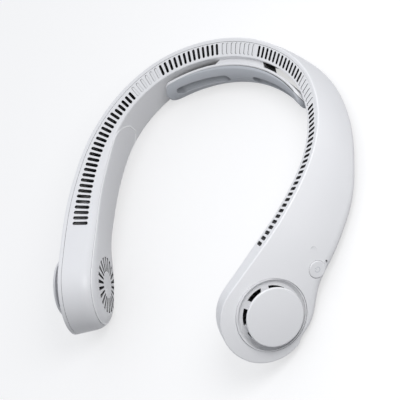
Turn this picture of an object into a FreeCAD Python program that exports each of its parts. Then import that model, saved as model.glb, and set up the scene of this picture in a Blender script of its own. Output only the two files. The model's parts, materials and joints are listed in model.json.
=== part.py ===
import FreeCAD, Part
import math
import os

from FreeCAD import Matrix, Placement, Vector

# Neck fan. Lengths are in millimetres and angles in degrees.
# The model is drawn in a working frame: the vent line lies flat at height 0, X runs to the pod with the power
# button, Y to the back of the neck and Z up. At the end everything is stood on a table.

# Vent line in plan, from the middle of the back to the fan pod
back_radius = 101.5
back_turn = 26.4
shoulder_radius = 69.0
shoulder_turn = 68.6
arm_radius = 152.0
arm_turn = 16.8
pod_reach = 32.0

# Band section at seven stations: back, shoulder, upper arm, arm, last vent, root of the pod, pod
shoulder_station = 66.0
upper_arm_station = 100.0
pod_root = 10.0
pod_radius = 25.0
pod_lean = 21.0
pod_strip_tilt = 29.0
pod_outer = 11.0
pod_inner = 9.8
rim_edge = 0.8
pod_inner_edge = 7.5
lean = (12.0, 13.7, 14.7, 17.0, 20.0, 20.4, pod_lean)
strip_tilt = (24.0, 25.3, 26.2, 28.5, 29.0, 29.0, pod_strip_tilt)
outer_width = (6.3, 6.7, 7.1, 8.0, 10.2, 10.6, pod_outer)
inner_width = (4.8, 5.0, 5.8, 9.0, 10.3, 10.1, pod_inner)
height = (25.0, 25.8, 27.6, 33.5, 41.0, 45.5, 2 * pod_radius)
outer_base = (4.9, 4.2, 6.0, 7.5, 10.0, 10.4, pod_outer)
inner_base = (4.8, 5.0, 5.4, 7.0, 7.5, 8.2, pod_inner)
base_slope = (-6.0, -4.3, -7.7, -22.0, -14.0, -11.5, pod_lean - pod_strip_tilt)
outer_bulge = (1.0, 0.8, 1.3, 1.5, 1.6, 1.55, 1.4)
inner_bulge = (0.3, 0.3, 0.4, 0.6, 1.0, 1.1, 1.2)
strip_outer_edge = (rim_edge,) * 7
base_outer_edge = (4.2, 4.4, 4.7, 6.0, 7.0, 4.8, rim_edge)
base_inner_edge = (3.0, 2.6, 3.1, 5.0, 5.0, 5.8, pod_inner_edge)
strip_inner_edge = (0.5, 0.6, 1.1, 3.0, 4.0, 5.4, pod_inner_edge)
section_spacing = 16.0
pod_section_spacing = 11.0

# Mouldings
wall = 2.0
parting_lip = 1.6
seam = 0.2
smallest_round = 0.4

# Vents: two open rows a side, blind recesses between them
vent_pitch = 3.5
vent_width = (1.8, 1.8, 1.9, 2.1, 2.3, 2.3, 2.3)
vent_length = (6.8, 7.0, 7.1, 7.7, 9.3, 9.3, 9.3)
back_vents_start = 17.0
back_vent_count = 13
arm_vents_start = 84.0
arm_vent_count = 27
arm_vent_pitch = 3.19
arm_vent_spread = 0.022
short_vent_count = 5
short_vent_trim = 1.0
blind_vent_depth = 0.25

# Snap-on inner covers of the arms
cover_thickness = 1.0
cover_bond = 0.1
cover_start = 99.5
cover_edge = 0.5
cover_edge_gap = 0.012
pod_opening_radius = 19.0

# Fan unit: its axis stands off the middle of the pod's rim
fan_drop = 2.6
fan_back = 3.6
fan_room = 40.0

# Outlet grille in the inner cover
grille_slots = 22
grille_inner_radius = 8.2
grille_outer_radius = 17.0
grille_slot_angle = 8.0
grille_turn = 4.0

# Intake ring and the cap that floats over it
intake_drop = 1.9
intake_back = 3.5
intake_level = 11.3
intake_lean = 18.0
intake_turn = -2.8
ring_radius = 21.3
ring_fit = 0.12
ring_top = 0.2
ring_lip = 0.8
ring_step = 0.5
dish_radius = 18.9
ring_floor = -1.8
ring_floor_thickness = 1.3
intake_slots = 7
intake_slot_turn = -14.0
intake_inner_radius = 12.6
intake_outer_radius = 16.8
intake_rib = 4.8
cap_radius = 17.2
cap_top = 6.5
cap_dome = 0.7
cap_rim = 1.5
cap_edge = 0.7
cap_boss_radius = 11.5

# Motor
shaft_radius = 0.75
shaft_clearance = 0.03
bush_wall = 0.8
bush_length = 5.8
tube_radius = 2.4
base_radius = 8.0
base_thickness = 1.4
base_floor = 0.6
hub_seat = -8.4
core_bore_gap = 0.05
core_hub_radius = 3.5
core_radius = 6.0
core_height = 3.8
core_lift = 1.0
pole_count = 6
pole_width = 1.4
pole_shoe = 0.6
pole_shoe_angle = 38.0
coil_width = 3.1
coil_wrap = 0.6
coil_gap = 0.1
magnet_gap = 0.5
magnet_thickness = 0.8
magnet_height = 4.6
bell_wall = 0.8
bell_top = 1.0
bell_gap = 0.4
shaft_end_gap = 0.3
shaft_overhang = 1.0

# Impeller
impeller_radius = 17.3
impeller_height = 11.0
blade_count = 30
blade_inner_radius = 12.8
blade_thickness = 0.8
blade_sweep = 14.0
blade_bow = 0.9
web_thickness = 1.0
hoop_width = 1.0
hoop_height = 0.8
hub_wall = 1.0
hub_skirt = 4.0
hub_fit = 0.05

# Batteries
battery_station = 128.0
battery_drop = 17.0
battery_offset = 0.6
battery_length = 32.0
battery_width = 16.0
battery_thickness = 7.5
battery_edge = 1.5
foam_length = 22.0
foam_width = 10.0
foam_gap = 0.05

# Cable between the two batteries
cable_radius = 1.2
cable_drop = 11.0
cable_offset = 1.4
cable_end_gap = 0.3

# Power button and the electronics behind it
button_station = 167.6
button_fraction = 0.8
button_radius = 5.1
button_gap = 0.15
button_proud = 0.3
button_edge = 0.6
button_flange = 0.7
button_flange_thickness = 0.7
button_flange_gap = 1.0
button_stem_radius = 1.5
button_stem = 0.9
button_travel = 0.5
press_gap = 0.1
switch_size = 6.0
switch_height = 2.2
plunger_radius = 1.4
plunger_height = 0.4
board_thickness = 1.2
board_up = 11.0
board_down = 3.4
board_ahead = 9.0
board_behind = 10.0
post_radius = 2.0
post_bore = 0.95
post_up = 8.6
post_ahead = 6.5
post_behind = 7.5
screw_radius = 0.9
screw_head_radius = 1.8
screw_head = 1.1
board_hole_gap = 0.2
screw_depth = 3.2
light_behind = 7.0
light_below = 2.0
light_radius = 0.4
light_gap = 0.1
light_foot_radius = 1.0
light_foot = 0.8
socket_width = 8.94
socket_height = 3.2
socket_depth = 7.3
socket_wall = 0.3
socket_tongue = 0.7
socket_tongue_width = 6.7
socket_inset = 0.4
socket_ahead = 0.0
port_gap = 0.3

# Screws that hold the two shells together, under the inner covers
housing_stations = (106.0, 152.0)
housing_drops = (19.0, 13.0)
housing_boss_radius = 3.2
housing_pocket_radius = 3.6
housing_pocket = 2.4
housing_head_radius = 2.2
housing_head = 1.2
housing_head_gap = 0.2
housing_bore = 0.95
housing_grip = 5.0
boss_gap = 0.2

# Neck pad, its carrier and the mount on the band
pad_radius = 91.5
pad_reach = 37.2
pad_top = -4.7
pad_height = 16.4
pad_depth = 5.7
pad_side = 2.2
pad_back_edge = 0.5
pad_front_shift = 14.0
pad_seat = 8.7
groove_radius = 3.2
groove_depth = 2.4
groove_start = 7.2
groove_end = 26.6
groove_rise = 1.4
carrier_gap = 0.1
carrier_thickness = 1.7
carrier_edge = 0.5
mount_width = 40.0
mount_taper = 9.0
mount_margin = 1.2
mount_gap = 0.05
pad_screw_spread = 11.0
pad_screw_drop = 14.6
pad_boss_radius = 3.0
pad_boss = 3.0
pad_screw_tip = 1.2

table_spread = 60.0


def arc_length(radius, turn):
    return radius * math.radians(turn)


shoulder_begin = arc_length(back_radius, back_turn)
arm_begin = shoulder_begin + arc_length(shoulder_radius, shoulder_turn)
last_vent = arm_begin + arc_length(arm_radius, arm_turn)
pod_station = last_vent + pod_reach
stations = (0.0, shoulder_station, upper_arm_station, arm_begin, last_vent, last_vent + pod_root, pod_station)
up = Vector(0, 0, 1)


def smooth(values, s):
    """Value at distance s along the band of the smooth curve through one value a station, level at both ends."""
    s = abs(s)
    slopes = [0.0] * len(values)
    for i in range(1, len(values) - 1):
        before = (values[i] - values[i - 1]) / (stations[i] - stations[i - 1])
        after = (values[i + 1] - values[i]) / (stations[i + 1] - stations[i])
        if before * after > 0:
            slopes[i] = 2 * before * after / (before + after)
    i = 0
    while i < len(values) - 2 and s > stations[i + 1]:
        i += 1
    span = stations[i + 1] - stations[i]
    u = min((s - stations[i]) / span, 1.0)
    start = (1 + 2 * u) * (1 - u) ** 2 * values[i] + u * (1 - u) ** 2 * span * slopes[i]
    return start + u * u * (3 - 2 * u) * values[i + 1] - u * u * (1 - u) * span * slopes[i + 1]


def spine(s):
    """Point of the vent line at distance s from the middle of the back, and the heading there."""
    x, y, heading, left = 0.0, 0.0, 0.0, abs(s)
    for radius, turn in ((back_radius, back_turn), (shoulder_radius, shoulder_turn), (arm_radius, arm_turn)):
        step = min(left, arc_length(radius, turn))
        ahead = heading + step / radius
        x += radius * (math.sin(ahead) - math.sin(heading))
        y -= radius * (math.cos(heading) - math.cos(ahead))
        heading = ahead
        left -= step
    x += left * math.cos(heading)
    y -= left * math.sin(heading)
    return Vector(x, y, 0), heading


def axes(s):
    """Origin, direction along the band, outward normal and upward direction of the section at s (right side)."""
    origin, heading = spine(s)
    slope = math.radians(smooth(lean, s))
    out = Vector(math.sin(heading), math.cos(heading), 0)
    ahead = Vector(math.cos(heading), -math.sin(heading), 0)
    normal = out * math.cos(slope) + up * math.sin(slope)
    upward = out * -math.sin(slope) + up * math.cos(slope)
    return origin, ahead, normal, upward


def in_space(s, point):
    """Section point (outward, upward) as a point in space. A negative s is the left side."""
    origin, ahead, normal, upward = axes(s)
    place = origin + normal * point[0] + upward * point[1]
    if s < 0:
        place.x = -place.x
    return place


def frame_at(origin, x, y, z):
    """Placement whose axes are the three given directions."""
    return Placement(Matrix(x.x, y.x, z.x, origin.x, x.y, y.y, z.y, origin.y, x.z, y.z, z.z, origin.z, 0, 0, 0, 1))


def section_frame(s, point):
    """Frame on the right side with X up the section, Y along the band and Z outwards."""
    origin, ahead, normal, upward = axes(s)
    return frame_at(in_space(s, point), upward, ahead, normal)


class Side:
    """One side of the section, from a to b, bowed outwards by a sagitta."""

    def __init__(self, a, b, bulge):
        self.a = a
        self.bulge = bulge
        self.length = math.dist(a, b)
        self.along = ((b[0] - a[0]) / self.length, (b[1] - a[1]) / self.length)
        self.out = (-self.along[1], self.along[0])

    def at(self, fraction):
        """Point at a fraction of the side, and the direction of travel there."""
        if self.bulge == 0:
            run, rise, angle = self.length * fraction, 0.0, 0.0
        else:
            radius = (self.length ** 2 / 4 + self.bulge ** 2) / (2 * self.bulge)
            half = math.asin(self.length / 2 / radius)
            angle = half * (2 * fraction - 1)
            run = radius * math.sin(angle) + self.length / 2
            rise = radius * math.cos(angle) - radius + self.bulge
        point = tuple(self.a[k] + self.along[k] * run + self.out[k] * rise for k in (0, 1))
        travel = tuple(self.along[k] * math.cos(angle) - self.out[k] * math.sin(angle) for k in (0, 1))
        return point, travel


def meet(a, along_a, b, along_b):
    """Point where two lines cross."""
    det = along_a[0] * along_b[1] - along_a[1] * along_b[0]
    k = ((b[0] - a[0]) * along_b[1] - (b[1] - a[1]) * along_b[0]) / det
    return a[0] + along_a[0] * k, a[1] + along_a[1] * k


def section_sides(s, inset):
    """Strip, outer face, base and inner face of the section at s, moved inwards by inset."""
    draft = math.tan(math.radians(smooth(strip_tilt, s) - smooth(lean, s)))
    slope = math.tan(math.radians(smooth(base_slope, s)))
    tall = smooth(height, s)
    top_out, top_in = smooth(outer_width, s), smooth(inner_width, s)
    low_out, low_in = smooth(outer_base, s), smooth(inner_base, s)
    corners = [(-top_in, -top_in * draft), (top_out, top_out * draft)]
    corners += [(low_out, -tall + low_out * slope), (-low_in, -tall - low_in * slope)]
    plain = [Side(corners[i], corners[(i + 1) % 4], 0) for i in range(4)]
    starts = [(side.a[0] - side.out[0] * inset, side.a[1] - side.out[1] * inset) for side in plain]
    corners = [meet(starts[i - 1], plain[i - 1].along, starts[i], plain[i].along) for i in range(4)]
    bulges = (0, smooth(outer_bulge, s), 0, smooth(inner_bulge, s))
    return [Side(corners[i], corners[(i + 1) % 4], bulges[i]) for i in range(4)]


def section_edges(s, inset):
    """Segments round the section: strip, blend, outer face, blend, base, blend, inner face, blend."""
    sides = section_sides(s, inset)
    tables = (strip_inner_edge, strip_outer_edge, base_outer_edge, base_inner_edge)
    rounds = [max(smooth(table, s) - inset, smallest_round) for table in tables]
    ends = []
    for i in range(4):
        ends.append((rounds[i] / sides[i].length, 1 - rounds[(i + 1) % 4] / sides[i].length))
    segments = []
    for i in range(4):
        begin, end = ends[i]
        follow = (i + 1) % 4
        a, b = sides[i].at(begin)[0], sides[i].at(end)[0]
        middle = sides[i].at((begin + end) / 2)[0]
        segments.append(("line", a, b) if sides[i].bulge == 0 else ("arc", a, middle, b))
        after, heading = sides[follow].at(ends[follow][0])
        corner = meet(b, sides[i].at(end)[1], after, heading)
        segments.append(("blend", b, corner, after))
    return segments


def parting(s, inset, gap):
    """Points where the two shells part: on the strip and on the base, gap further inboard."""
    sides = section_sides(s, 0)
    points = []
    for i, far, table in ((0, True, strip_outer_edge), (2, False, base_outer_edge)):
        step = (smooth(table, s) + parting_lip + gap) / sides[i].length
        point = sides[i].at(1 - step if far else step)[0]
        points.append(tuple(point[k] - sides[i].out[k] * inset for k in (0, 1)))
    return points


def outer_run(s, inset):
    """Outer shell's side of the section, from the parting on the strip to the parting on the base."""
    edges = section_edges(s, inset)
    top, low = parting(s, inset, -seam / 2)
    return [("line", top, edges[1][1])] + edges[1:4] + [("line", edges[3][-1], low)]


def inner_run(s, inset):
    """Inner shell's side of the section, from the parting on the base to the parting on the strip."""
    edges = section_edges(s, inset)
    top, low = parting(s, inset, seam / 2)
    return [("line", low, edges[5][1])] + edges[5:8] + [("line", edges[7][-1], top)]


def half_arc(inset, face, second):
    """Half of the pod's outer or inner face, from or to the middle."""
    side = section_sides(pod_station, inset)[face]
    segment = section_edges(pod_station, inset)[2 * face]
    reach = 1 - math.dist(side.at(1.0)[0], segment[-1]) / side.length
    begin, end = (0.5, reach) if second else (1 - reach, 0.5)
    points = [segment[1], side.at((begin + end) / 2)[0], side.at(0.5)[0]]
    if second:
        points = [side.at(0.5)[0], side.at((begin + end) / 2)[0], segment[-1]]
    return ("arc", *points)


def outer_half_run(inset):
    edges = section_edges(pod_station, inset)
    top = parting(pod_station, inset, -seam / 2)[0]
    return [("line", top, edges[1][1]), edges[1], half_arc(inset, 1, False)]


def inner_half_run(inset):
    edges = section_edges(pod_station, inset)
    top = parting(pod_station, inset, seam / 2)[0]
    return [half_arc(inset, 3, True), edges[7], ("line", edges[7][-1], top)]


def split_blend(blend, fraction):
    """The two parts of a blend, cut at a fraction of its run."""
    kind, a, corner, b = blend
    near = tuple(a[k] + (corner[k] - a[k]) * fraction for k in (0, 1))
    far = tuple(corner[k] + (b[k] - corner[k]) * fraction for k in (0, 1))
    middle = tuple(near[k] + (far[k] - near[k]) * fraction for k in (0, 1))
    return ("blend", a, near, middle), ("blend", middle, far, b)


def cover_run(s, inset, edge):
    """Inner face with a share of both of its blends, which is what the inner cover takes up."""
    edges = section_edges(s, inset)
    low = split_blend(edges[5], 1 - edge)[1]
    top = split_blend(edges[7], edge)[0]
    return [low, edges[6], top]


def cover_half_run(inset, edge):
    top = split_blend(section_edges(pod_station, inset)[7], edge)[0]
    return [half_arc(inset, 3, True), top]


def ring_of(first, second):
    """Closed run: the first run, then back along the second."""
    back = [(segment[0],) + tuple(reversed(segment[1:])) for segment in reversed(second)]
    return first + [("line", first[-1][-1], back[0][1])] + back + [("line", back[-1][-1], first[0][1])]


def wire(s, segments):
    """Wire in space of a closed run of segments of the section at s."""
    edges = []
    for kind, *points in segments:
        places = [in_space(s, point) for point in points]
        if kind == "line":
            edges.append(Part.makeLine(*places))
        elif kind == "arc":
            edges.append(Part.Arc(*places).toShape())
        else:
            curve = Part.BezierCurve()
            curve.setPoles(places)
            edges.append(curve.toShape())
    return Part.Wire(edges)


def loft_stops(begin):
    """Stations of a loft from begin to the pod, closer together at the root of the pod."""
    stops = [begin]
    for end, spacing in ((last_vent, section_spacing), (pod_station, pod_section_spacing)):
        start = stops[-1]
        count = math.ceil((end - start) / spacing)
        stops += [start + (end - start) * (i + 1) / count for i in range(count)]
    return stops


pod_origin, pod_ahead, pod_normal, pod_up = axes(pod_station)
rim_centre = in_space(pod_station, (0, -pod_radius))


def half_turn(segments):
    """Front half of the pod: half of a section turned about the rim's axis."""
    return Part.Face(wire(pod_station, segments)).revolve(rim_centre, pod_normal, 180)


def mirrored(shape):
    return shape.mirror(Vector(0, 0, 0), Vector(1, 0, 0))


def single(shape):
    """The one solid that a boolean leaves, or its largest one."""
    return max(shape.Solids, key=lambda solid: solid.Volume)


def shell(run, half_run):
    """Moulded half of the band, from pod to pod."""
    stops = loft_stops(0)
    stops = [-s for s in reversed(stops[1:])] + stops
    band = Part.makeLoft([wire(s, ring_of(run(s, 0), run(s, wall))) for s in stops], True)
    front = half_turn(ring_of(half_run(0), half_run(wall)))
    return single(band.fuse([front, mirrored(front)]))


def disc(radius, low, high):
    return Part.makeCylinder(radius, high - low, Vector(0, 0, low))


def tube(outer, inner, low, high):
    return disc(outer, low, high).cut(disc(inner, low - 1, high + 1))


def centred_box(x, y, low, high):
    return Part.makeBox(x, y, high - low, Vector(-x / 2, -y / 2, low))


def rounded_slot(length, width, low, high):
    """Slot with round ends, long in X."""
    straight = length - width
    body = centred_box(straight, width, low, high)
    ends = [disc(width / 2, low, high).translated(Vector(side * straight / 2, 0, 0)) for side in (-1, 1)]
    return body.fuse(ends).removeSplitter()


def turned(shape, angle):
    """Copy turned about Z."""
    copy = shape.copy()
    copy.rotate(Vector(0, 0, 0), up, angle)
    return copy


def spun(points):
    """Solid of revolution about Z from (radius, height) points."""
    outline = Part.makePolygon([Vector(r, 0, z) for r, z in points + points[:1]])
    return Part.Face(outline).revolve(Vector(0, 0, 0), up, 360)


def placed(shape, frame):
    copy = shape.copy()
    copy.Placement = frame.multiply(copy.Placement)
    return copy


fan_frame = section_frame(pod_station, (0, 0))
fan_frame = fan_frame.multiply(Placement(Vector(-pod_radius - fan_drop, -fan_back, 0), FreeCAD.Rotation()))


def intake_axes():
    """Frame of the intake ring: Z along its axis, X up, at the level of the outer face."""
    heading = spine(pod_station)[1] + math.radians(intake_turn)
    slope = math.radians(intake_lean)
    out = Vector(math.sin(heading), math.cos(heading), 0)
    ahead = Vector(math.cos(heading), -math.sin(heading), 0)
    origin = rim_centre - pod_up * intake_drop - pod_ahead * intake_back + pod_normal * intake_level
    return frame_at(origin, out * -math.sin(slope) + up * math.cos(slope), ahead,
                    out * math.cos(slope) + up * math.sin(slope))


intake_frame = intake_axes()


# Vents

def vent_cut(s, blind, trim):
    """Cutter of one vent slot on the right side, square to the strip."""
    origin, ahead, normal, upward = axes(s)
    out = Vector(ahead.y * -1, ahead.x, 0)
    tilt = math.radians(smooth(strip_tilt, s))
    across = out * math.cos(tilt) + up * math.sin(tilt)
    facing = out * -math.sin(tilt) + up * math.cos(tilt)
    low = -blind_vent_depth if blind else -3 * wall
    slot = rounded_slot(smooth(vent_length, s) - trim, smooth(vent_width, s), low, wall)
    return placed(slot, frame_at(origin - across * (trim / 2), across, ahead * -1, facing))


def vent_cuts():
    back_vents_end = back_vents_start + (back_vent_count - 1) * vent_pitch
    cuts = [vent_cut(back_vents_start + i * vent_pitch, False, 0) for i in range(back_vent_count)]
    for i in range(arm_vent_count):
        s = arm_vents_start + i * (arm_vent_pitch + (i - 1) * arm_vent_spread / 2)
        cuts.append(vent_cut(s, False, short_vent_trim if i < short_vent_count else 0))
    blind = [vent_pitch * (i + 0.5) for i in range(int(back_vents_start / vent_pitch - 0.5))]
    between = round((arm_vents_start - back_vents_end) / vent_pitch)
    step = (arm_vents_start - back_vents_end) / between
    blind += [back_vents_end + step * i for i in range(1, between)]
    cuts += [vent_cut(s, True, 0) for s in blind]
    return cuts + [mirrored(cut) for cut in cuts]


# Inner covers

def cover_layer(outside, inside, edge):
    """Layer of the inner face from the cover's rounded end to the front of the pod, on the right side."""
    def profile(s):
        return ring_of(cover_run(s, outside, edge), cover_run(s, inside, edge))

    layer = Part.makeLoft([wire(s, profile(s)) for s in loft_stops(cover_start)], True)
    front = half_turn(ring_of(cover_half_run(outside, edge), cover_half_run(inside, edge)))
    layer = single(layer.fuse(front))
    ends = cover_run(cover_start, 0, edge)
    reach = math.dist(ends[0][1], ends[-1][-1]) / 2
    middle = cover_run(cover_start + reach, 0, edge)
    low, top = middle[0][1], middle[-1][-1]
    reach = math.dist(low, top) / 2
    frame = section_frame(cover_start + reach, tuple((low[k] + top[k]) / 2 for k in (0, 1)))
    block = Part.makeBox(4 * reach, 3 * reach, 4 * reach, Vector(-2 * reach, -3 * reach, -2 * reach))
    return single(layer.cut(placed(block.cut(disc(reach, -2 * reach, 2 * reach)), frame)))


def grille_cuts():
    """Radial slots that widen outwards, round the fan axis."""
    half = math.radians(grille_slot_angle / 2)
    corners = []
    for radius, side in ((grille_inner_radius, -1), (grille_outer_radius, -1), (grille_outer_radius, 1),
                         (grille_inner_radius, 1)):
        corners.append(Vector(radius * math.cos(half), side * radius * math.sin(half), -fan_room / 2))
    tips = [Vector(radius, 0, -fan_room / 2) for radius in (grille_outer_radius, grille_inner_radius)]
    edges = [Part.makeLine(corners[0], corners[1]), Part.Arc(corners[1], tips[0], corners[2]).toShape()]
    edges += [Part.makeLine(corners[2], corners[3]), Part.Arc(corners[3], tips[1], corners[0]).toShape()]
    slot = Part.Face(Part.Wire(edges)).extrude(Vector(0, 0, fan_room / 2 + hub_seat + base_floor))
    return [turned(slot, grille_turn + 360 * i / grille_slots) for i in range(grille_slots)]


def inner_cover():
    cover = cover_layer(0, cover_thickness, cover_edge - cover_edge_gap)
    hub = placed(disc(base_radius, -fan_room / 2, hub_seat), fan_frame)
    outside = cover_layer(-fan_room / 2, 0, cover_edge - cover_edge_gap)
    hub = single(hub.cut(outside))
    cover = single(cover.fuse(hub))
    return single(cover.cut([placed(cut, fan_frame) for cut in grille_cuts()]))


# Screws that hold the shells together

def inner_face_point(s, drop):
    """Point of the inner face at a drop below the vent line."""
    face = section_sides(s, 0)[3]
    low, high = 0.0, 1.0
    for _ in range(30):
        middle = (low + high) / 2
        if face.at(middle)[0][1] < -drop:
            low = middle
        else:
            high = middle
    return face.at(low)[0]


def housing_frames():
    """Frames on the inner face with Z outwards, and the depth to the middle of the outer wall."""
    frames = []
    for s, drop in zip(housing_stations, housing_drops):
        inside = inner_face_point(s, drop)
        thick = section_sides(s, 0)[1].at(0.5)[0][0] - inside[0] - wall / 2
        frames.append((section_frame(s, inside), thick))
    return frames


recess = cover_thickness + cover_bond
head_seat = recess + housing_head + housing_head_gap
pocket_end = recess + housing_head + housing_pocket


def housing_screw():
    head = disc(housing_head_radius, recess + housing_head_gap, head_seat)
    return head.fuse(disc(screw_radius, head_seat, head_seat + housing_grip)).removeSplitter()


# Motor and impeller, drawn about Z with the outside of the pod upwards

base_top = hub_seat + base_thickness
bush_low = hub_seat + base_floor + shaft_end_gap
bush_high = bush_low + bush_length
tube_top = bush_high + shaft_end_gap
core_low = base_top + core_lift
core_high = core_low + core_height
bush_radius = shaft_radius + shaft_clearance + bush_wall
magnet_inner = core_radius + magnet_gap
bell_inner = magnet_inner + magnet_thickness
bell_radius = bell_inner + bell_wall
bell_low = core_low - (magnet_height - core_height) / 2
plate_low = tube_top + bell_gap
plate_high = plate_low + bell_top
shaft_low = hub_seat + base_floor + shaft_end_gap
hub_inner = bell_radius + hub_fit
hub_radius = hub_inner + hub_wall


def motor_base():
    flange = disc(base_radius, hub_seat, base_top)
    body = flange.fuse(disc(tube_radius, hub_seat, tube_top))
    return body.cut(disc(bush_radius, hub_seat + base_floor, tube_top + 1)).removeSplitter()


def motor_bush():
    return tube(bush_radius, shaft_radius + shaft_clearance, bush_low, bush_high)


def stator_core():
    hub = tube(core_hub_radius, tube_radius + core_bore_gap, core_low, core_high)
    shoe_ring = tube(core_radius, core_radius - pole_shoe, core_low, core_high)
    spread = math.radians(pole_shoe_angle / 2)
    far = 2 * core_radius
    sector = Part.makePolygon([Vector(0, 0, core_low), Vector(far, far * math.tan(spread), core_low),
                               Vector(far, -far * math.tan(spread), core_low), Vector(0, 0, core_low)])
    shoe = shoe_ring.common(Part.Face(sector).extrude(Vector(0, 0, core_height)))
    start = (core_hub_radius + tube_radius) / 2
    length = core_radius - pole_shoe / 2 - start
    tooth = Part.makeBox(length, pole_width, core_height, Vector(start, -pole_width / 2, core_low))
    pole = tooth.fuse(shoe)
    return single(hub.fuse([turned(pole, 360 * i / pole_count) for i in range(pole_count)]).removeSplitter())


def stator_coils():
    start = core_hub_radius + coil_gap
    length = math.sqrt((core_radius - pole_shoe) ** 2 - (coil_width / 2) ** 2) - coil_gap - start
    tall = core_height + 2 * (coil_gap + coil_wrap)
    block = Part.makeBox(length, coil_width, tall, Vector(start, -coil_width / 2, core_low - coil_gap - coil_wrap))
    block = block.makeFillet(coil_wrap / 2, [edge for edge in block.Edges if abs(edge.tangentAt(0).x) > 0.9])
    slot_width = pole_width + 2 * coil_gap
    slot = Part.makeBox(length + 2, slot_width, core_height + 2 * coil_gap,
                        Vector(start - 1, -slot_width / 2, core_low - coil_gap))
    coil = block.cut(slot)
    return Part.makeCompound([turned(coil, 360 * i / pole_count) for i in range(pole_count)])


def motor_shaft():
    return disc(shaft_radius, shaft_low, plate_high + shaft_overhang)


def rotor_magnet():
    return tube(bell_inner, magnet_inner, bell_low, bell_low + magnet_height)


def rotor_bell():
    cup = disc(bell_radius, bell_low, plate_high).cut(disc(bell_inner, bell_low - 1, plate_low))
    return cup.cut(disc(shaft_radius, plate_low - 1, plate_high + 1))


def blade():
    """Forward-curved blade: a bowed strip from the inner to the outer radius."""
    sweep = math.radians(blade_sweep)
    inner = Vector(blade_inner_radius, 0, -impeller_height / 2)
    reach = impeller_radius - hoop_width / 2
    outer = Vector(reach * math.cos(sweep), reach * math.sin(sweep), -impeller_height / 2)
    chord = outer - inner
    side = Vector(chord.y, -chord.x, 0).normalize()
    middle = (inner + outer) * 0.5 + side * blade_bow
    edges = []
    shift = side * (blade_thickness / 2)
    edges.append(Part.Arc(inner + shift, middle + shift, outer + shift).toShape())
    edges.append(Part.makeLine(outer + shift, outer - shift))
    edges.append(Part.Arc(outer - shift, middle - shift, inner - shift).toShape())
    edges.append(Part.makeLine(inner - shift, inner + shift))
    return Part.Face(Part.Wire(edges)).extrude(Vector(0, 0, impeller_height))


def impeller():
    web = tube(impeller_radius, hub_inner, plate_high - web_thickness, plate_high)
    cup = disc(hub_radius, plate_high - hub_skirt, plate_high + web_thickness)
    cup = cup.cut(disc(hub_inner, plate_high - hub_skirt - 1, plate_high + hub_fit))
    cup = cup.cut(disc(shaft_radius + hub_fit, 0, plate_high + web_thickness + 1))
    low = -impeller_height / 2
    hoops = [tube(impeller_radius, impeller_radius - hoop_width, z, z + hoop_height)
             for z in (low, -low - hoop_height)]
    blades = [turned(blade(), 360 * i / blade_count) for i in range(blade_count)]
    return single(cup.fuse([web] + hoops + blades))


# Intake ring and cap

def intake_ring():
    lip_inner = ring_radius - ring_lip
    step = ring_top - ring_step
    under = ring_floor - ring_floor_thickness
    ring = spun([(0, under), (dish_radius, under), (ring_radius, step - ring_floor_thickness), (ring_radius, ring_top),
                 (lip_inner, ring_top), (lip_inner, step), (dish_radius, ring_floor), (0, ring_floor)])
    gap = tube(intake_outer_radius, intake_inner_radius, under - 1, ring_floor + 1)
    rib = Part.makeBox(2 * ring_radius, intake_rib, fan_room, Vector(0, -intake_rib / 2, -fan_room / 2))
    ribs = [turned(rib, intake_slot_turn + 360 * (i + 0.5) / intake_slots) for i in range(intake_slots)]
    return single(ring.cut(gap.cut(ribs)))


def intake_cap():
    """Shallow domed disc with a rounded edge on a boss that stands on the ring's floor."""
    edge_top = cap_top - cap_dome
    under = edge_top - cap_rim
    reach = cap_radius - cap_edge
    dome_radius = (reach ** 2 + cap_dome ** 2) / (2 * cap_dome)
    dome_start = Vector(reach, 0, edge_top)
    middle = Vector(reach / 2, 0, cap_top - dome_radius + math.sqrt(dome_radius ** 2 - reach ** 2 / 4))
    crown = Vector(0, 0, cap_top)
    side_top = Vector(cap_radius, 0, edge_top - cap_edge)
    round_middle = dome_start + Vector(cap_edge * math.sin(math.radians(45)), 0, -cap_edge + cap_edge
                                       * math.cos(math.radians(45)))
    corners = [side_top, Vector(cap_radius, 0, under), Vector(cap_boss_radius, 0, under),
               Vector(cap_boss_radius, 0, ring_floor), Vector(0, 0, ring_floor), crown]
    edges = [Part.Arc(crown, middle, dome_start).toShape(), Part.Arc(dome_start, round_middle, side_top).toShape()]
    edges += [Part.makeLine(a, b) for a, b in zip(corners[:-1], corners[1:])]
    return Part.Face(Part.Wire(edges)).revolve(Vector(0, 0, 0), up, 360)


# Electronics, drawn in the button's frame: Z outwards from the face of the right arm, X up it and Y forwards

def button_frame():
    side = section_sides(button_station, 0)[1]
    point, travel = side.at(button_fraction)
    origin, ahead, normal, upward = axes(button_station)
    upwards = normal * -travel[0] + upward * -travel[1]
    return frame_at(in_space(button_station, point), upwards, ahead, upwards.cross(ahead))


face_frame = button_frame()
flange_top = -wall - button_flange_gap
flange_low = flange_top - button_flange_thickness
stem_low = flange_low - button_stem
plunger_top = stem_low - button_travel - press_gap
board_top = plunger_top - plunger_height - switch_height
board_low = board_top - board_thickness
post_places = ((post_up, post_ahead), (post_up, -post_behind))
light_place = Vector(-light_below, -light_behind, 0)


def power_button():
    """Round key with a half flange that holds it behind the upper edge of its hole, and a stem to the switch."""
    cap = disc(button_radius, flange_low, button_proud)
    cap = cap.makeFillet(button_edge, [edge for edge in cap.Edges if edge.BoundBox.ZMin > 0])
    reach = button_radius + button_flange
    half = Part.makeBox(reach, 2 * reach, button_flange_thickness, Vector(0, -reach, flange_low))
    flange = disc(reach, flange_low, flange_top).common(half)
    return cap.fuse([flange, disc(button_stem_radius, stem_low, flange_low)]).removeSplitter()


def push_switch():
    body = centred_box(switch_size, switch_size, board_top, board_top + switch_height)
    return body.fuse(disc(plunger_radius, board_top, plunger_top)).removeSplitter()


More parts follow.
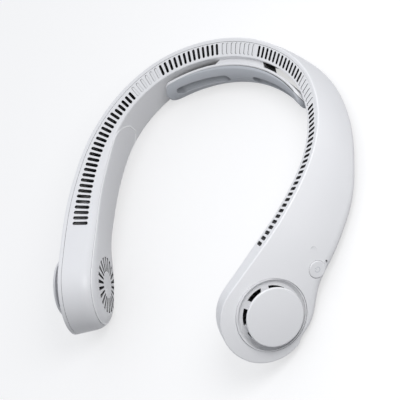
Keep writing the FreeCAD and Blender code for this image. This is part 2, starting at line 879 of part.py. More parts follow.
def control_board():
    board = Part.makeBox(board_up + board_down, board_ahead + board_behind, board_thickness,
                         Vector(-board_down, -board_behind, board_low))
    hole = disc(screw_radius + board_hole_gap, board_low - 1, board_top + 1)
    return board.cut([hole.translated(Vector(x, y, 0)) for x, y in post_places])


def board_screw():
    head = disc(screw_head_radius, board_low - screw_head, board_low)
    return head.fuse(disc(screw_radius, board_low, board_low + screw_depth)).removeSplitter()


def board_post():
    post = disc(post_radius, board_top, -wall / 2)
    return post.cut(disc(post_bore, board_top - 1, board_low + screw_depth + 1))


def light_pipe():
    pipe = disc(light_radius, board_top, 0)
    return pipe.fuse(disc(light_foot_radius, board_top, board_top + light_foot)).removeSplitter().translated(light_place)


def base_level():
    """Height of the base's outer face in the button's frame, under the middle of the socket."""
    depth = board_low - socket_height / 2
    probe = face_frame.multVec(Vector(0, socket_ahead, depth))
    side = section_sides(button_station, 0)[2]
    origin, ahead, normal, upward = axes(button_station)
    offset = (probe - origin).dot(normal)
    begin = side.a
    drop = begin[1] + side.along[1] / side.along[0] * (offset - begin[0])
    return drop - (probe - origin).dot(upward)


def charging_socket():
    """Oval metal shell with its tongue, opening downwards through the base."""
    shell_body = rounded_slot(socket_width, socket_height, 0, socket_depth)
    inside = rounded_slot(socket_width - 2 * socket_wall, socket_height - 2 * socket_wall, -1, socket_depth - socket_wall)
    tongue = centred_box(socket_tongue_width, socket_tongue, socket_wall, socket_depth)
    return shell_body.cut(inside).fuse(tongue).removeSplitter()


socket_frame = face_frame.multiply(frame_at(
    Vector(base_level() + socket_inset, socket_ahead, board_low - socket_height / 2),
    Vector(0, 1, 0), Vector(0, 0, 1), Vector(1, 0, 0)))


def port_cut():
    return placed(rounded_slot(socket_width + 2 * port_gap, socket_height + 2 * port_gap, -3 * wall, 2 * wall),
                  socket_frame)


# Batteries and their cable

battery_frame = section_frame(battery_station, (battery_offset, -battery_drop))


def battery():
    cell = centred_box(battery_width, battery_length, -battery_thickness / 2, battery_thickness / 2)
    return placed(cell.makeFillet(battery_edge, cell.Edges), battery_frame)


def battery_foam(outside):
    """Foam between the cell and the outer shell, shaped by the shell's wall."""
    low = battery_thickness / 2 + foam_gap
    block = centred_box(foam_width, foam_length, low, low + smooth(outer_width, battery_station))
    return min(placed(block, battery_frame).cut(outside).Solids,
               key=lambda solid: solid.CenterOfMass.distanceToPoint(battery_frame.Base))


def battery_cable():
    """Cable round the back from cell to cell, at a steady distance from the vent line."""
    reach = battery_station - battery_length / 2 - cable_end_gap
    path = []
    centre = Vector(0, -back_radius, -cable_drop)
    radius = back_radius + cable_offset
    turn = math.radians(back_turn)
    tips = [centre + Vector(side * radius * math.sin(turn), radius * math.cos(turn), 0) for side in (-1, 1)]
    path.append(Part.Arc(tips[0], centre + Vector(0, radius, 0), tips[1]).toShape())
    bend_point, heading = spine(shoulder_begin)
    bend = bend_point - Vector(math.sin(heading), math.cos(heading), 0) * shoulder_radius - up * cable_drop
    end_heading = heading + (reach - shoulder_begin) / shoulder_radius
    radius = shoulder_radius + cable_offset
    points = [bend + Vector(math.sin(h), math.cos(h), 0) * radius
              for h in (heading, (heading + end_heading) / 2, end_heading)]
    for side in (1, -1):
        flip = [Vector(side * point.x, point.y, point.z) for point in points]
        path.append(Part.Arc(*flip).toShape())
    line = Part.Wire(Part.__sortEdges__(path))
    start = line.OrderedVertexes[0].Point
    tangent = line.OrderedEdges[0].tangentAt(line.OrderedEdges[0].FirstParameter)
    profile = Part.Wire(Part.makeCircle(cable_radius, start, tangent))
    return Part.Solid(line.makePipeShell([profile], True, False).Shells[0])


# Neck pad

pad_centre = Vector(0, -pad_seat - pad_radius, 0)
front_centre = pad_centre - Vector(0, pad_front_shift, 0)


def outline(points):
    """Closed run of straight edges."""
    return [Part.makeLine(a, b) for a, b in zip(points, points[1:] + points[:1])]


def swept(edges, centre):
    """Face of section edges at the middle, turned about an upright axis to both sides."""
    face = Part.Face(Part.Wire(edges))
    face.rotate(centre, up, pad_reach)
    return face.revolve(centre, up, -2 * pad_reach)


def pad_point(radius, z):
    return pad_centre + Vector(0, radius, z)


def rounded_ends(shape):
    """Cuts both ends of a swept strip to half circles, seen from the neck."""
    half_height = pad_height / 2
    middle = pad_top - half_height
    turn = math.degrees(half_height / pad_radius)
    for side in (-1, 1):
        block = Part.makeBox(2 * pad_radius, 3 * half_height, 4 * half_height,
                             Vector(0, 0, middle - 2 * half_height))
        rod = Part.makeCylinder(half_height, 2 * pad_radius, Vector(0, 0, middle), Vector(1, 0, 0))
        tool = block.cut(rod)
        if side < 0:
            tool = tool.mirror(Vector(0, 0, 0), Vector(0, 1, 0))
        tool.rotate(Vector(0, 0, 0), up, 90 + side * (pad_reach - turn))
        shape = shape.cut(tool.translated(pad_centre))
    return single(shape)


def groove_cuts():
    """Long hollow with round ends on each side of the middle, along the pad's front."""
    radius = pad_radius - pad_depth + groove_depth - groove_radius
    place = pad_point(radius, pad_top - pad_height / 2 + groove_rise)
    circle = Part.Face(Part.Wire(Part.makeCircle(groove_radius, place, Vector(1, 0, 0))))
    cuts = []
    for side in (-1, 1):
        start = circle.copy()
        start.rotate(front_centre, up, side * groove_start)
        cuts.append(start.revolve(front_centre, up, side * (groove_end - groove_start)))
        for angle in (groove_start, groove_end):
            ball = Part.makeSphere(groove_radius, place)
            ball.rotate(front_centre, up, side * angle)
            cuts.append(ball)
    return cuts


def neck_pad():
    """Crowned soft strip that thins towards its ends: its front turns about an axis further from the back."""
    low = pad_top - pad_height
    middle = pad_top - pad_height / 2
    side = pad_radius - pad_side
    far = pad_radius + pad_depth
    corners = [pad_point(side, low), pad_point(far, low), pad_point(far, pad_top), pad_point(side, pad_top)]
    edges = [Part.makeLine(a, b) for a, b in zip(corners[:-1], corners[1:])]
    edges.append(Part.Arc(corners[3], pad_point(pad_radius - pad_depth, middle), corners[0]).toShape())
    near = pad_radius - 2 * pad_depth
    back = pad_radius - pad_back_edge
    corners = [pad_point(near, low), pad_point(back, low), pad_point(pad_radius, low + pad_back_edge),
               pad_point(pad_radius, pad_top - pad_back_edge), pad_point(back, pad_top), pad_point(near, pad_top)]
    pad = rounded_ends(swept(edges, front_centre).common(swept(outline(corners), pad_centre)))
    for cut in groove_cuts():
        pad = single(pad.cut(cut))
    return pad


carrier_inner = pad_radius + carrier_gap
carrier_outer = carrier_inner + carrier_thickness


def pad_carrier():
    low = pad_top - pad_height
    corners = []
    for radius, inwards in ((carrier_inner, 1), (carrier_outer, -1)):
        step = radius + inwards * carrier_edge
        ends = [(radius, low + carrier_edge), (step, low), (step, pad_top), (radius, pad_top - carrier_edge)]
        corners.append([pad_point(*end) for end in ends])
    front, back = corners
    points = [front[0], front[1], back[1], back[0], back[3], back[2], front[2], front[3]]
    return rounded_ends(swept(outline(points), pad_centre))


def band_core():
    """Filled stretch of the band behind the mount, grown by the mount's gap."""
    stops = [-mount_width, -mount_width / 2, 0, mount_width / 2, mount_width]
    return Part.makeLoft([wire(s, section_edges(s, -mount_gap)) for s in stops], True)


def pad_mount():
    """Block between the carrier and the band, narrower at the band."""
    inner = carrier_outer + carrier_gap / 2
    outer = inner + smooth(outer_width, 0) + smooth(inner_width, 0)
    low = pad_top - pad_height + mount_margin
    tips = []
    for radius, half_width in ((inner, mount_width / 2), (outer, mount_width / 2 - mount_taper)):
        for side in (-1, 0, 1):
            across = side * half_width
            tips.append(pad_centre + Vector(across, math.sqrt(radius ** 2 - across ** 2), low))
    edges = [Part.Arc(*tips[:3]).toShape(), Part.makeLine(tips[2], tips[5]), Part.Arc(*tips[3:]).toShape(),
             Part.makeLine(tips[3], tips[0])]
    face = Part.Face(Part.Wire(Part.__sortEdges__(edges)))
    block = face.extrude(Vector(0, 0, pad_height - 2 * mount_margin))
    return min(block.cut(band_core()).Solids, key=lambda solid: solid.BoundBox.YMin)


def pad_screw_frame():
    """Frame of the right pad screw: Z towards the neck, origin on the band's inner face."""
    place = section_frame(pad_screw_spread, inner_face_point(pad_screw_spread, pad_screw_drop))
    return place.multiply(Placement(Vector(0, 0, 0), FreeCAD.Rotation(Vector(1, 0, 0), 180)))


def pad_screw():
    head = disc(screw_head_radius, -pad_boss - screw_head, -pad_boss)
    return head.fuse(disc(screw_radius, -pad_boss, pad_screw_tip)).removeSplitter()


# Assembly

outer_shell = shell(outer_run, outer_half_run)
inner_shell = shell(inner_run, inner_half_run)

opening_radius = ring_radius + ring_fit
opening = disc(opening_radius, ring_floor - 2 * ring_floor_thickness, fan_room / 2)
opening = placed(opening, intake_frame)
button_hole = placed(disc(button_radius + button_gap, stem_low - wall, wall), face_frame)
light_hole = placed(disc(light_radius + light_gap, -2 * wall, wall).translated(light_place), face_frame)
posts = [placed(board_post().translated(Vector(x, y, 0)), face_frame) for x, y in post_places]
bosses = []
pockets = []
pocket_cuts = []
housing_screws = []
for frame, thick in housing_frames():
    boss = disc(housing_boss_radius, pocket_end + boss_gap, thick)
    bosses.append(placed(boss.cut(disc(housing_bore, 0, head_seat + housing_grip + 1)), frame))
    pockets.append(placed(disc(housing_pocket_radius, recess, pocket_end), frame))
    hole = disc(housing_head_radius + housing_head_gap, -1, head_seat)
    pocket_cuts.append(placed(hole.fuse(disc(screw_radius + board_hole_gap, 0, pocket_end + 1)), frame))
    housing_screws.append(placed(housing_screw(), frame))

outer_shell = single(outer_shell.fuse(posts + bosses + [mirrored(boss) for boss in bosses]))
outer_shell = single(outer_shell.cut([opening, mirrored(opening), button_hole, light_hole, port_cut()]))

cover = inner_cover()
cover_recess = cover_layer(-wall, recess, cover_edge)
pod_opening = placed(disc(pod_opening_radius, -fan_room / 2, -impeller_height / 2), fan_frame)
pad_screw_boss = placed(disc(pad_boss_radius, -pad_boss, -wall / 2), pad_screw_frame())
pad_screw_hole = placed(disc(screw_radius + board_hole_gap, -pad_boss - 1, wall), pad_screw_frame())
right_pad_screw = placed(pad_screw(), pad_screw_frame())
screw_holes = [pad_screw_hole, mirrored(pad_screw_hole)]
supports = pockets + [pad_screw_boss]
inner_shell = single(inner_shell.fuse(supports + [mirrored(support) for support in supports]))
cuts = [cover_recess, pod_opening] + pocket_cuts
inner_shell = single(inner_shell.cut(cuts + [mirrored(cut) for cut in cuts] + screw_holes + [port_cut()]))
inner_shell = single(inner_shell.cut(vent_cuts()))

mount = single(pad_mount().cut(screw_holes))

nodes = {
    "outer_shell": outer_shell,
    "inner_shell": inner_shell,
    "pad_mount": mount,
    "pad_carrier": pad_carrier(),
    "neck_pad": neck_pad(),
    "pad_screws": Part.makeCompound([right_pad_screw, mirrored(right_pad_screw)]),
    "housing_screws": Part.makeCompound(housing_screws + [mirrored(screw) for screw in housing_screws]),
    "battery_cable": battery_cable(),
    "power_button": placed(power_button(), face_frame),
    "push_switch": placed(push_switch(), face_frame),
    "control_board": placed(control_board(), face_frame),
    "board_screws": placed(Part.makeCompound(
        [board_screw().translated(Vector(x, y, 0)) for x, y in post_places]), face_frame),
    "light_pipe": placed(light_pipe(), face_frame),
    "charging_socket": placed(charging_socket(), socket_frame),
}
pod_pieces = {
    "inner_cover": cover,
    "intake_ring": placed(intake_ring(), intake_frame),
    "intake_cap": placed(intake_cap(), intake_frame),
    "motor_base": placed(motor_base(), fan_frame),
    "motor_bush": placed(motor_bush(), fan_frame),
    "stator_core": placed(stator_core(), fan_frame),
    "stator_coils": placed(stator_coils(), fan_frame),
    "motor_shaft": placed(motor_shaft(), fan_frame),
    "rotor_magnet": placed(rotor_magnet(), fan_frame),
    "rotor_bell": placed(rotor_bell(), fan_frame),
    "impeller": placed(impeller(), fan_frame),
    "battery": battery(),
    "battery_foam": battery_foam(outer_shell),
}
for name, shape in pod_pieces.items():
    nodes[name + "_right"] = shape
    nodes[name + "_left"] = mirrored(shape)


def table_tilt(points):
    """Angle about X at which the back and the two pods stand on the table together."""
    def lowest(turn, back):
        chosen = [p for p in points if (p.y > -table_spread) == back]
        return min(p.z * math.cos(turn) + p.y * math.sin(turn) for p in chosen)

    low, high = math.radians(-45), math.radians(45)
    for _ in range(50):
        turn = (low + high) / 2
        if lowest(turn, True) > lowest(turn, False):
            high = turn
        else:
            low = turn
    return math.degrees(turn)


surface = outer_shell.tessellate(0.2)[0] + inner_shell.tessellate(0.2)[0]
tilt = Placement(Vector(0, 0, 0), FreeCAD.Rotation(Vector(1, 0, 0), table_tilt(surface)))
turned_points = [tilt.multVec(point) for point in surface]
floor = min(point.z for point in turned_points)
front = min(point.y for point in turned_points)
rear = max(point.y for point in turned_points)
stand = Placement(Vector(0, -(front + rear) / 2, -floor), FreeCAD.Rotation()).multiply(tilt)

os.makedirs("parts", exist_ok=True)
for name, shape in nodes.items():
    placed(shape, stand).exportStep("parts/" + name + ".step")
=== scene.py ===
import json
import math

import bmesh
import bpy
from mathutils import Matrix, Vector


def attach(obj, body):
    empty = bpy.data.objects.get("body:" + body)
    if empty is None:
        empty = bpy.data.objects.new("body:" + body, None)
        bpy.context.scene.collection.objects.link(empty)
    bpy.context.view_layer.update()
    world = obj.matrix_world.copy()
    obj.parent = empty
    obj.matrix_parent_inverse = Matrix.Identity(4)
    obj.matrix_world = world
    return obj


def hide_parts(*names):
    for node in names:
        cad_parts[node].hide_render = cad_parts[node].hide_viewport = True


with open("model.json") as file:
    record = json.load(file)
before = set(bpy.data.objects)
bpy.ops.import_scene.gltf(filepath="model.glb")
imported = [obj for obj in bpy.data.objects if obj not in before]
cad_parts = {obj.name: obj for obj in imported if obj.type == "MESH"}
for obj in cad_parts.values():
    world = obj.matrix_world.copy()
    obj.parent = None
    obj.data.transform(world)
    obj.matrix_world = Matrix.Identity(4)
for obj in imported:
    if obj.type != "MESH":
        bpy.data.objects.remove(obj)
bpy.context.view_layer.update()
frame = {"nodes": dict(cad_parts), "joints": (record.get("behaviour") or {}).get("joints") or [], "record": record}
nodes = frame["nodes"]
mm = 0.001
print("frame loaded:", len(nodes), "nodes")


# Small helpers

def linear(code):  # sRGB hex to linear colour
    values = [int(code[i:i + 2], 16) / 255 for i in (1, 3, 5)]
    return [v / 12.92 if v <= 0.04045 else ((v + 0.055) / 1.055) ** 2.4 for v in values] + [1]


def addNode(tree, kind, settings=None, links=None):
    node = tree.nodes.new("ShaderNode" + kind)
    for name, value in (settings or {}).items():
        if isinstance(name, int) or name in node.inputs:
            node.inputs[name].default_value = value
        else:
            setattr(node, name, value)
    for name, source in (links or {}).items():
        tree.links.new(source, node.inputs[name])
    return node


def joint(name):
    return next(row for row in frame["joints"] if row["name"] == name)


def newTree(name):
    material = bpy.data.materials.new(name)
    material.use_nodes = True
    material.node_tree.nodes.clear()
    return material, material.node_tree


def addObject(name, mesh):
    piece = bpy.data.objects.new(name, mesh)
    bpy.context.scene.collection.objects.link(piece)
    return piece


def finishMesh(name, bm, smooth=True):
    bmesh.ops.recalc_face_normals(bm, faces=bm.faces)
    mesh = bpy.data.meshes.new(name)
    for face in bm.faces:
        face.smooth = smooth
    bm.to_mesh(mesh)
    bm.free()
    return addObject(name, mesh)


# Materials: each one starts from what the real stuff is and how its surface was made

gapRays = 16
glossBand = (0.3, 0.7)  # the part of the grain's values that the gloss is spread over


def grained(name, look):  # a moulded, sintered or coated surface: cloudy tone, fine grain, uneven gloss, and painted shade where it is listed
    material, tree = newTree(name)
    place = addNode(tree, "TexCoord").outputs["Object"]
    cloud = addNode(tree, "TexNoise", {"Scale": 1 / (look["cloud"] * mm), "Detail": 2.0}, {"Vector": place})
    grain = addNode(tree, "TexNoise", {"Scale": 1 / (look["grain"] * mm), "Detail": 3.0}, {"Vector": place})
    tone = addNode(tree, "MixRGB", {"Color1": linear(look["colour"]), "Color2": linear(look["shade"])},
                   {"Fac": cloud.outputs["Fac"]})
    for gap in look.get("paintedShade", ()):  # painted shade: slots, grooves and gaps that little light reaches are painted dark by occlusion
        free = addNode(tree, "AmbientOcclusion",
                       {"Distance": gap["reach"] * mm, "only_local": gap["own"], "samples": gapRays})
        shut, clear = gap["closed"]
        unshaded = addNode(tree, "MapRange",
                        {"From Min": shut, "From Max": clear, "interpolation_type": "SMOOTHSTEP"},
                        {"Value": free.outputs["AO"]})
        tone = addNode(tree, "MixRGB", {"Color1": linear(gap["colour"])},
                       {"Fac": unshaded.outputs["Result"], "Color2": tone.outputs["Color"]})
    low, high = look["roughness"]
    gloss = addNode(tree, "MapRange",
                    {"From Min": glossBand[0], "From Max": glossBand[1], "To Min": low, "To Max": high},
                    {"Value": grain.outputs["Fac"]})
    bump = addNode(tree, "Bump", {"Strength": look.get("bump", 0.3), "Distance": look["relief"] * mm},
                   {"Height": grain.outputs["Fac"]})
    if "middle" in look:  # the crown of a dome is shaded by its facets, too fine to be seen there
        point, axis = look["middle"]
        inner, outer = look["crown"]
        spot = addNode(tree, "VectorMath", {"operation": "SUBTRACT", 1: point}, {0: place})
        arm = addNode(tree, "VectorMath", {"operation": "CROSS_PRODUCT", 1: axis},
                      {0: spot.outputs["Vector"]})
        away = addNode(tree, "VectorMath", {"operation": "LENGTH"}, {0: arm.outputs["Vector"]})
        out = addNode(tree, "MapRange", {"From Min": inner * mm, "From Max": outer * mm},
                      {"Value": away.outputs["Value"]})
        faces = addNode(tree, "NewGeometry")
        blend = addNode(tree, "MixRGB", None,
                        {"Fac": out.outputs["Result"], "Color1": faces.outputs["True Normal"],
                         "Color2": faces.outputs["Normal"]})
        tree.links.new(blend.outputs["Color"], bump.inputs["Normal"])
    sockets = {"Metallic": look.get("metallic", 0.0), "IOR": look.get("ior", 1.5)}
    sockets.update(look.get("sockets", {}))
    shader = addNode(tree, "BsdfPrincipled", sockets,
                     {"Base Color": tone.outputs["Color"], "Roughness": gloss.outputs["Result"],
                      "Normal": bump.outputs["Normal"]})
    addNode(tree, "OutputMaterial", None, {"Surface": shader.outputs["BSDF"]})
    return material


def banded(name, look):  # wire, laminations or a turned face: fine lines across one direction
    material, tree = newTree(name)
    place = addNode(tree, "TexCoord").outputs["Object"]
    turned = addNode(tree, "Mapping", {"Rotation": look["turn"]}, {"Vector": place})
    lines = addNode(tree, "TexWave",
                    {"Scale": 1 / (look["pitch"] * mm) / math.tau, "Distortion": look["waver"],
                     "bands_direction": "Z"}, {"Vector": turned.outputs["Vector"]})
    tone = addNode(tree, "MixRGB", {"Color1": linear(look["shade"]), "Color2": linear(look["colour"])},
                   {"Fac": lines.outputs["Fac"]})
    bump = addNode(tree, "Bump", {"Strength": look["bump"], "Distance": look["relief"] * mm},
                   {"Height": lines.outputs["Fac"]})
    shader = addNode(tree, "BsdfPrincipled", {"Metallic": look["metallic"], "Roughness": look["roughness"]},
                     {"Base Color": tone.outputs["Color"], "Normal": bump.outputs["Normal"]})
    addNode(tree, "OutputMaterial", None, {"Surface": shader.outputs["BSDF"]})
    return material


satinAbs = dict(  # moulded in a spark-eroded tool: soft sheen, no gloss
    colour="#f1f1f2", shade="#ececee", cloud=45, grain=0.35, relief=0.006, roughness=(0.36, 0.46), ior=1.53)
ductPaintedShade = dict(reach=25, own=False, closed=(0.04, 0.22), colour="#15161a")  # painted shade on the white duct seen through the slots
# painted shade on the slot walls, from their own geometry
slotWallPaintedShade = dict(reach=6, own=True, closed=(0.52, 0.88), colour="#0d0e11")
whiteAbs = grained("satin white ABS", dict(satinAbs, paintedShade=[ductPaintedShade, slotWallPaintedShade]))
carrierAbs = grained("satin white ABS, carrier", satinAbs)  # no painted shade, so its edge stays white
grilleAbs = grained("satin white ABS, grille", dict(  # narrow deep slots, painted with darker shade than those of the strip
    satinAbs, paintedShade=[ductPaintedShade, dict(slotWallPaintedShade, closed=(0.6, 0.985))]))
fineAbs = dict(  # same plastic from a finer tool: the caps and the button gleam a little more
    colour="#f0f0f1", shade="#ebebed", cloud=40, grain=0.3, relief=0.004, roughness=(0.32, 0.40), ior=1.53,
    paintedShade=[dict(reach=8, own=False, closed=(0.08, 0.50), colour="#15161a")])  # painted shade under the caps
buttonAbs = grained("fine white ABS", fineAbs)
greySilicone = grained("soft grey silicone", dict(  # matt moulded skin that takes light softly
    colour="#b9bcc1", shade="#b3b6bb", cloud=18, grain=0.4, relief=0.012, roughness=(0.55, 0.68), ior=1.41,
    paintedShade=[dict(reach=2.0, own=False, closed=(0.62, 0.98), colour="#24262a"),  # painted shade along the seam with the carrier
          dict(reach=5, own=True, closed=(0.60, 0.99), colour="#45484d")],  # painted shade in the two grooves
    sockets={"Sheen Weight": 0.12, "Sheen Roughness": 0.5}))
fanNylon = grained("dark glass-filled nylon", dict(  # moulded blades with a dry, slightly streaky face
    colour="#2a2b2e", shade="#232427", cloud=9, grain=0.5, relief=0.01, roughness=(0.45, 0.6), ior=1.53))
blackAbs = grained("black ABS", dict(  # plain moulded case of the switch, half matt
    colour="#17181a", shade="#121315", cloud=6, grain=0.3, relief=0.006, roughness=(0.4, 0.5), ior=1.53))
blackPvc = grained("black PVC sleeve", dict(  # extruded cable skin
    colour="#141416", shade="#1b1b1e", cloud=12, grain=0.6, relief=0.01, roughness=(0.42, 0.55), ior=1.53))
blackFoam = grained("black EVA foam", dict(  # open cells drawn coarser than real so that they show
    colour="#1d1e20", shade="#101113", cloud=2, grain=0.45, relief=0.12, bump=0.8, roughness=(0.8, 0.95)))
boardLacquer = grained("green board lacquer", dict(  # glossy solder mask over woven glass
    colour="#0d4a2c", shade="#0a3d24", cloud=2.5, grain=0.8, relief=0.02, roughness=(0.22, 0.34), ior=1.55))
smokedPc = grained("smoked polycarbonate", dict(  # unlit light pipe
    colour="#3a3d40", shade="#303336", cloud=2, grain=0.3, relief=0.002, roughness=(0.12, 0.2), ior=1.58))
turnedSteel = grained("turned steel", dict(  # bright, with the tool's fine marks
    colour="#b9bbbf", shade="#a9abb0", cloud=3, grain=0.25, relief=0.004, roughness=(0.24, 0.36),
    metallic=1.0))
platedSteel = grained("nickel-plated steel", dict(  # drawn sheet with a warm bright skin
    colour="#cfd0cf", shade="#c2c3c4", cloud=6, grain=0.3, relief=0.003, roughness=(0.16, 0.26),
    metallic=1.0))
magnetFerrite = grained("bonded magnet", dict(  # pressed powder: dark and dull
    colour="#3a3a3d", shade="#2f2f32", cloud=2, grain=0.3, relief=0.02, roughness=(0.5, 0.65),
    metallic=0.6))
oilBronze = grained("sintered bronze", dict(  # pressed grains filled with oil
    colour="#a9793f", shade="#8f6534", cloud=1.2, grain=0.2, relief=0.01, roughness=(0.3, 0.45),
    metallic=1.0))
bareAluminium = grained("die-cast aluminium", dict(  # uneven grey of a raw casting
    colour="#c6c8cb", shade="#b5b8bc", cloud=5, grain=0.4, relief=0.012, roughness=(0.34, 0.48),
    metallic=1.0))
cellFilm = grained("black shrink film", dict(  # glossy, drawn tight round the cell
    colour="#20242b", shade="#1b1f26", cloud=14, grain=1.5, relief=0.03, roughness=(0.24, 0.34), ior=1.53))
copperWire = banded("enamelled copper wire", dict(  # turns lie side by side, 0.3 mm apart
    colour="#b5622f", shade="#6e3313", pitch=0.3, waver=0.4, relief=0.08, bump=0.6, turn=(0.2, 0.4, 0),
    metallic=0.9, roughness=0.3))
corePlates = banded("lacquered core plates", dict(  # stack of thin stampings
    colour="#77797d", shade="#3c3d40", pitch=0.5, waver=0.0, relief=0.03, bump=0.6,
    turn=(0, math.radians(66), 0), metallic=1.0, roughness=0.42))

finishes = {
    "white_plastic": whiteAbs, "grey_silicone": greySilicone, "dark_plastic": fanNylon,
    "black_plastic": blackAbs, "black_insulation": blackPvc, "black_foam": blackFoam,
    "green_board": boardLacquer, "clear_plastic": smokedPc, "steel": turnedSteel,
    "plated_steel": platedSteel, "core_steel": corePlates, "magnet": magnetFerrite, "bronze": oilBronze,
    "copper_wire": copperWire, "aluminium": bareAluminium, "cell_wrap": cellFilm,
}
ownFinishes = {"power_button": buttonAbs, "pad_carrier": carrierAbs}
for side in ("left", "right"):
    spin = joint(side + "_fan_spin")
    domed = dict(fineAbs, middle=(spin["pos_m"], spin["axis"]), crown=(4.0, 5.2))
    ownFinishes["inner_cover_" + side] = grilleAbs
    ownFinishes["intake_cap_" + side] = grained("fine white ABS, domed " + side, domed)
for part in frame["record"]["subparts"]:
    piece = nodes[part["node"]]
    piece.data.materials.clear()
    piece.data.materials.append(ownFinishes.get(part["node"], finishes[part["material_slot"]]))
print("materials:", len(bpy.data.materials))


# Neck pad: the moulded pad with its edges rolled over, in the place of its solid

padShape = dict(merge=0.005, voxel=0.25, smoothing=0.5, rounds=4, fill=0.9)


def neckPad():
    bm = bmesh.new()
    bm.from_mesh(nodes["neck_pad"].data)
    bmesh.ops.remove_doubles(bm, verts=bm.verts, dist=padShape["merge"] * mm)
    rough = finishMesh("padBlank", bm)
    remesh = rough.modifiers.new("skin", "REMESH")
    remesh.mode = "VOXEL"
    remesh.voxel_size = padShape["voxel"] * mm
    remesh.use_smooth_shade = True
    relax = rough.modifiers.new("relax", "SMOOTH")
    relax.factor = padShape["smoothing"]
    relax.iterations = padShape["rounds"]
    solid = rough.evaluated_get(bpy.context.evaluated_depsgraph_get())
    mesh = bpy.data.meshes.new_from_object(solid)
    bpy.data.objects.remove(rough)
    mesh.materials.clear()
    mesh.materials.append(greySilicone)
    pad = addObject("neckPad", mesh)
    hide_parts("neck_pad")
    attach(pad, "band")


neckPad()
print("neck pad done")


# Power mark: a broken ring and a bar, printed on the button

mark = dict(radius=1.5, line=0.28, height=0.02, gap=70, steps=40, barLow=0.5, barHigh=2.0, flat=0.01)
printInk = grained("pale grey pad-printing ink", dict(  # thin film, a little duller than the button
    colour="#c3c7cc", shade="#bbbfc5", cloud=3, grain=0.2, relief=0.002, roughness=(0.45, 0.55), ior=1.5))


def buttonPlace():  # turn and place of the button's face: Z outwards, X up the arm
    out = -Vector(joint("button_press")["axis"]).normalized()
    points = [vertex.co for vertex in nodes["power_button"].data.vertices]
    top = max(point.dot(out) for point in points)
    face = [point for point in points if point.dot(out) > top - mark["flat"] * mm]
    low = Vector([min(point[k] for point in face) for k in range(3)])
    high = Vector([max(point[k] for point in face) for k in range(3)])
    upArm = (Vector((0, 0, 1)) - out * out.z).normalized()
    turn = Matrix((upArm, out.cross(upArm), out)).transposed().to_4x4()
    return Matrix.Translation((low + high) / 2) @ turn


def powerMark():
    half = mark["line"] / 2 * mm
    bm = bmesh.new()
    start = math.radians(mark["gap"] / 2)
    reach = math.tau - 2 * start
    ends = [bm.verts.new((mark["radius"] * mm + side * half, 0, z * mark["height"] * mm))
            for side, z in ((-1, 0), (1, 0), (1, 1), (-1, 1))]
    edge = bm.faces.new(ends)
    bmesh.ops.rotate(bm, verts=ends, cent=(0, 0, 0), matrix=Matrix.Rotation(start, 3, "Z"))
    bmesh.ops.spin(bm, geom=[edge, *edge.edges, *ends], cent=(0, 0, 0), axis=(0, 0, 1), angle=reach,
                   steps=mark["steps"])
    long = mark["barHigh"] - mark["barLow"]
    size = Matrix.Diagonal((long * mm, 2 * half, mark["height"] * mm, 1))
    middle = Matrix.Translation(((mark["barLow"] + long / 2) * mm, 0, mark["height"] / 2 * mm))
    bmesh.ops.create_cube(bm, size=1.0, matrix=middle @ size)
    bmesh.ops.transform(bm, verts=bm.verts, matrix=buttonPlace())
    piece = finishMesh("powerMark", bm, False)
    piece.data.materials.append(printInk)
    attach(piece, "button")


powerMark()
print("power mark done")


# Cover rims: the fine raised bead that frames each inner cover

rim = dict(merge=0.02, wide=0.9, proud=0.35, sunk=0.15, soft=0.16, segments=2,
           steep=50, facing=0.66, grille=18)  # which edges: sharper than, facing in, outside the grille
rimHighlightAbs = grained("polished white ABS, painted highlight", dict(  # painted highlight: the bead is coloured brighter than the shell so that it reads as a light line
    colour="#fdfdfd", shade="#fafafb", cloud=30, grain=0.3, relief=0.002, roughness=(0.22, 0.3), ior=1.53))


def coverRim(side):
    spin = joint(side + "_fan_spin")
    hub, axis = Vector(spin["pos_m"]), Vector(spin["axis"])
    bm = bmesh.new()
    bm.from_mesh(nodes["inner_cover_" + side].data)
    bmesh.ops.remove_doubles(bm, verts=bm.verts, dist=rim["merge"] * mm)
    outline, up, out = set(), {}, {}
    for edge in bm.edges:  # the sharp edges of the visible face, but not those of its grille
        if len(edge.link_faces) != 2 or edge.calc_face_angle() < math.radians(rim["steep"]):
            continue
        face, wall = sorted(edge.link_faces, key=lambda one: one.normal.dot(axis))
        apart = (edge.verts[0].co - hub).cross(axis).length
        if face.normal.dot(axis) < -rim["facing"] and apart > rim["grille"] * mm:
            outline.add(edge)
            for vert in edge.verts:
                up[vert] = up.get(vert, Vector()) + face.normal
                out[vert] = out.get(vert, Vector()) + wall.normal
    bmesh.ops.delete(bm, geom=bm.faces[:], context="FACES_ONLY")
    bmesh.ops.delete(bm, geom=[edge for edge in bm.edges if edge not in outline], context="EDGES")
    strip = bmesh.ops.extrude_edge_only(bm, edges=bm.edges[:])["geom"]
    for vert in [item for item in strip if isinstance(item, bmesh.types.BMVert)]:
        start = next(edge.other_vert(vert) for edge in vert.link_edges if edge.other_vert(vert) in up)
        rise = up[start].normalized()
        aside = (out[start] - rise * out[start].dot(rise)).normalized()
        vert.co += (rise * rim["proud"] - aside * rim["wide"]) * mm
    for vert in up:
        vert.co += up[vert].normalized() * rim["proud"] * mm
    for face in bm.faces:
        face.normal_update()
        if face.normal.dot(axis) > 0:
            face.normal_flip()
    bmesh.ops.solidify(bm, geom=bm.faces[:], thickness=(rim["proud"] + rim["sunk"]) * mm)
    piece = finishMesh("coverRim_" + side, bm)
    piece.data.materials.append(rimHighlightAbs)
    soften = piece.modifiers.new("soften", "BEVEL")
    soften.width = rim["soft"] * mm
    soften.segments = rim["segments"]
    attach(piece, "band")


for side in ("left", "right"):
    coverRim(side)
print("cover rims done")


# Floor, light and camera

studio = dict(floorSize=6.0, floorColour="#aeaeaf", floorLift=0.61, skyColour="#f1f4fa", skyLevel=0.48,
              skySlope=(-0.20, 0.36, 0.24), boxPlace=(0.333, 0.084, 0.363), boxAim=(0, 0, 0.02),
              boxSize=0.25, boxPower=1.12)


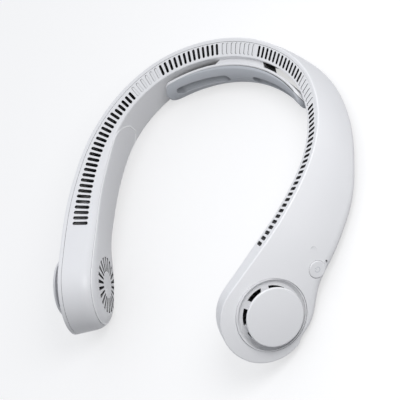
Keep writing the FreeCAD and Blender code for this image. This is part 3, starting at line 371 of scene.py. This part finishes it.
def seenRays(tree):  # 1 where the camera looks, straight or through gloss and glass
    rays = addNode(tree, "LightPath")
    total = addNode(tree, "Math", {"operation": "ADD"},
                    {0: rays.outputs["Is Camera Ray"], 1: rays.outputs["Is Glossy Ray"]})
    total = addNode(tree, "Math", {"operation": "ADD", "use_clamp": True},
                    {0: total.outputs[0], 1: rays.outputs["Is Transmission Ray"]})
    return total.outputs[0]


def floor():
    bm = bmesh.new()
    bmesh.ops.create_grid(bm, x_segments=1, y_segments=1, size=studio["floorSize"] / 2)
    piece = finishMesh("floor", bm, False)
    material, tree = newTree("pale paper floor")  # lifted to white where it is seen, and keeps the shadow
    lift = addNode(tree, "Math", {"operation": "MULTIPLY", 1: studio["floorLift"]}, {0: seenRays(tree)})
    paper = addNode(tree, "BsdfDiffuse", {"Color": linear(studio["floorColour"])})
    glow = addNode(tree, "Emission", {"Color": (1, 1, 1, 1)}, {"Strength": lift.outputs[0]})
    both = addNode(tree, "AddShader", None, {0: paper.outputs[0], 1: glow.outputs[0]})
    addNode(tree, "OutputMaterial", None, {"Surface": both.outputs[0]})
    piece.data.materials.append(material)


def lights():  # a softbox over the arm with the button, and a dim tent that is brighter behind the neck
    box = bpy.data.lights.new("softbox", "AREA")
    box.shape = "DISK"
    box.size = studio["boxSize"]
    box.energy = studio["boxPower"]
    lamp = addObject("softbox", box)
    lamp.location = studio["boxPlace"]
    lamp.rotation_euler = (Vector(studio["boxAim"]) - lamp.location).to_track_quat("-Z", "Y").to_euler()
    world = bpy.data.worlds.new("studio")
    bpy.context.scene.world = world
    world.use_nodes = True
    tree = world.node_tree
    tree.nodes.clear()
    way = addNode(tree, "TexCoord").outputs["Generated"]
    slope = addNode(tree, "VectorMath", {"operation": "DOT_PRODUCT", 1: studio["skySlope"]}, {0: way})
    level = addNode(tree, "Math", {"operation": "ADD", 1: studio["skyLevel"]}, {0: slope.outputs["Value"]})
    level = addNode(tree, "Math", {"operation": "MAXIMUM", 1: 0.0}, {0: level.outputs[0]})
    tent = addNode(tree, "Background", {"Color": linear(studio["skyColour"])},
                   {"Strength": level.outputs[0]})
    white = addNode(tree, "Background", {"Color": (1, 1, 1, 1), "Strength": 1.0})
    mix = addNode(tree, "MixShader", None, {0: seenRays(tree), 1: tent.outputs[0], 2: white.outputs[0]})
    addNode(tree, "OutputWorld", None, {"Surface": mix.outputs[0]})


shot = dict(azimuth=75.88, elevation=44.92, roll=-64.75, distance=1485.6, aim=(0.9, -5.66, 23.73),
            lens=227.56, sensor=36, near=0.01, far=20)


def camera():
    turn, rise = math.radians(shot["azimuth"]), math.radians(shot["elevation"])
    back = Vector((math.sin(turn) * math.cos(rise), -math.cos(turn) * math.cos(rise), math.sin(rise)))
    lens = bpy.data.cameras.new("photoCamera")
    lens.lens = shot["lens"]
    lens.sensor_width = shot["sensor"]
    lens.clip_start = shot["near"]
    lens.clip_end = shot["far"]
    body = addObject("photoCamera", lens)
    body.location = Vector(shot["aim"]) * mm + back * shot["distance"] * mm
    level = (-back).to_track_quat("-Z", "Y").to_matrix().to_4x4()
    turnRound = level @ Matrix.Rotation(math.radians(shot["roll"]), 4, "Z")
    body.rotation_mode = "QUATERNION"
    body.rotation_quaternion = turnRound.to_quaternion()
    bpy.context.scene.camera = body


floor()
lights()
camera()
bpy.context.scene.view_settings.view_transform = "Standard"
print("stage done")
